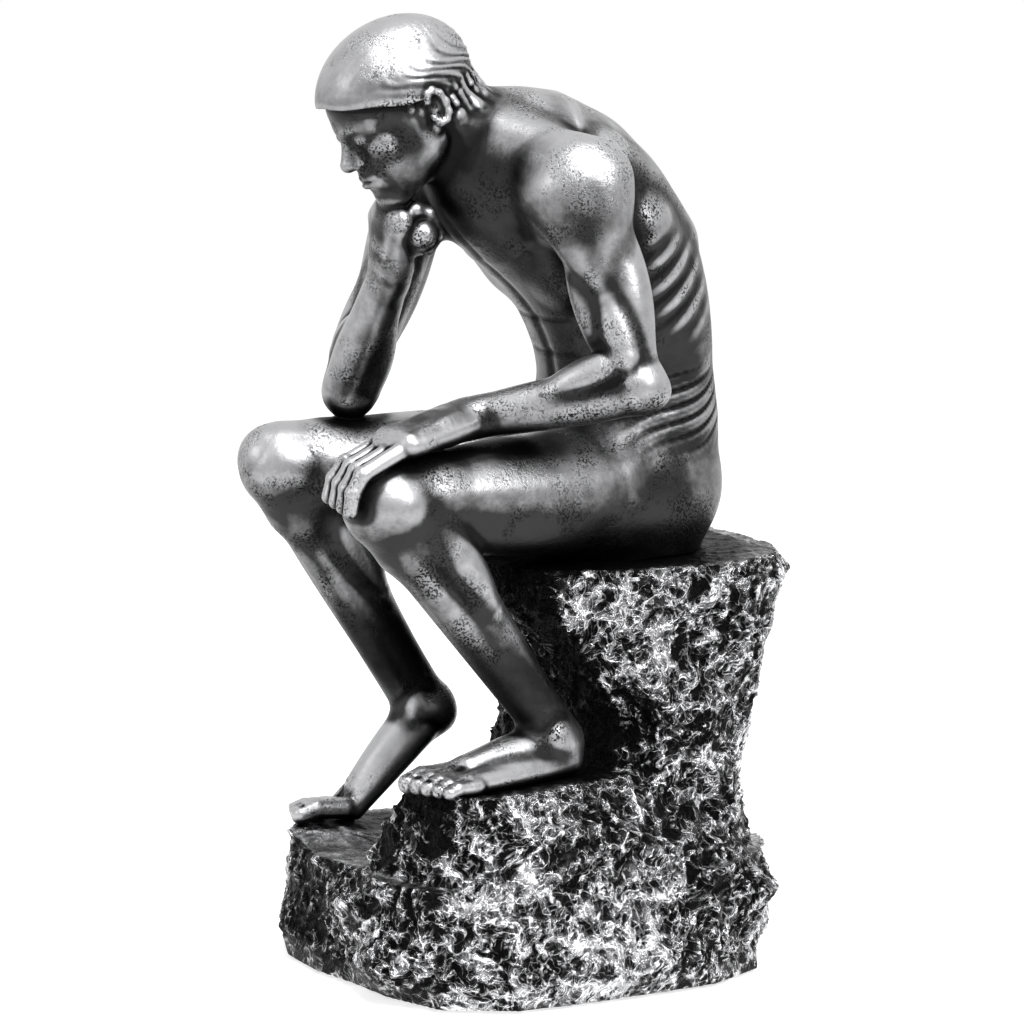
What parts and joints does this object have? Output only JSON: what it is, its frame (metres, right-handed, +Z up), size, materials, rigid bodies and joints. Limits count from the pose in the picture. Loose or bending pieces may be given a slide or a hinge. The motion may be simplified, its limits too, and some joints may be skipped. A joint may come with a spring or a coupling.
{
  "type": "seated thinker statue",
  "caption": "Desk statue of a seated, thinking figure with its chin on a closed hand, on a rough rock block, in an antique silver finish.",
  "frame": {"origin": "on the underside of the felt, at about the middle of the base", "axes": "+Z up, the figure faces -Y, its left side is +X"},
  "size_m": [0.1251, 0.1449, 0.264],
  "materials": {
    "figure_silver": "cast resin under antique silver paint, dark in the hollows and rubbed bright on the high places",
    "rock_silver": "cast resin with a rough rock texture under antique silver paint",
    "steel": "plain steel",
    "plate_black": "matt black board",
    "felt_black": "short felt"
  },
  "bodies": {
    "root": {"torso": "figure_silver", "head": "figure_silver", "left_arm": "figure_silver", "right_arm": "figure_silver", "left_leg": "figure_silver", "right_leg": "figure_silver", "rock_base": "rock_silver", "neck_dowel": "steel", "left_shoulder_dowel": "steel", "right_shoulder_dowel": "steel", "left_hip_dowel": "steel", "right_hip_dowel": "steel", "elbow_pin": "steel", "chin_pin": "steel", "hand_pin": "steel", "left_foot_pin": "steel", "right_foot_pin": "steel", "seat_studs": "steel", "seat_washers": "steel", "seat_nuts": "steel", "plate_screws": "steel", "ballast_block": "steel", "ballast_screws": "steel", "base_plate": "plate_black", "felt_sheet": "felt_black"}
  },
  "joints": []
}
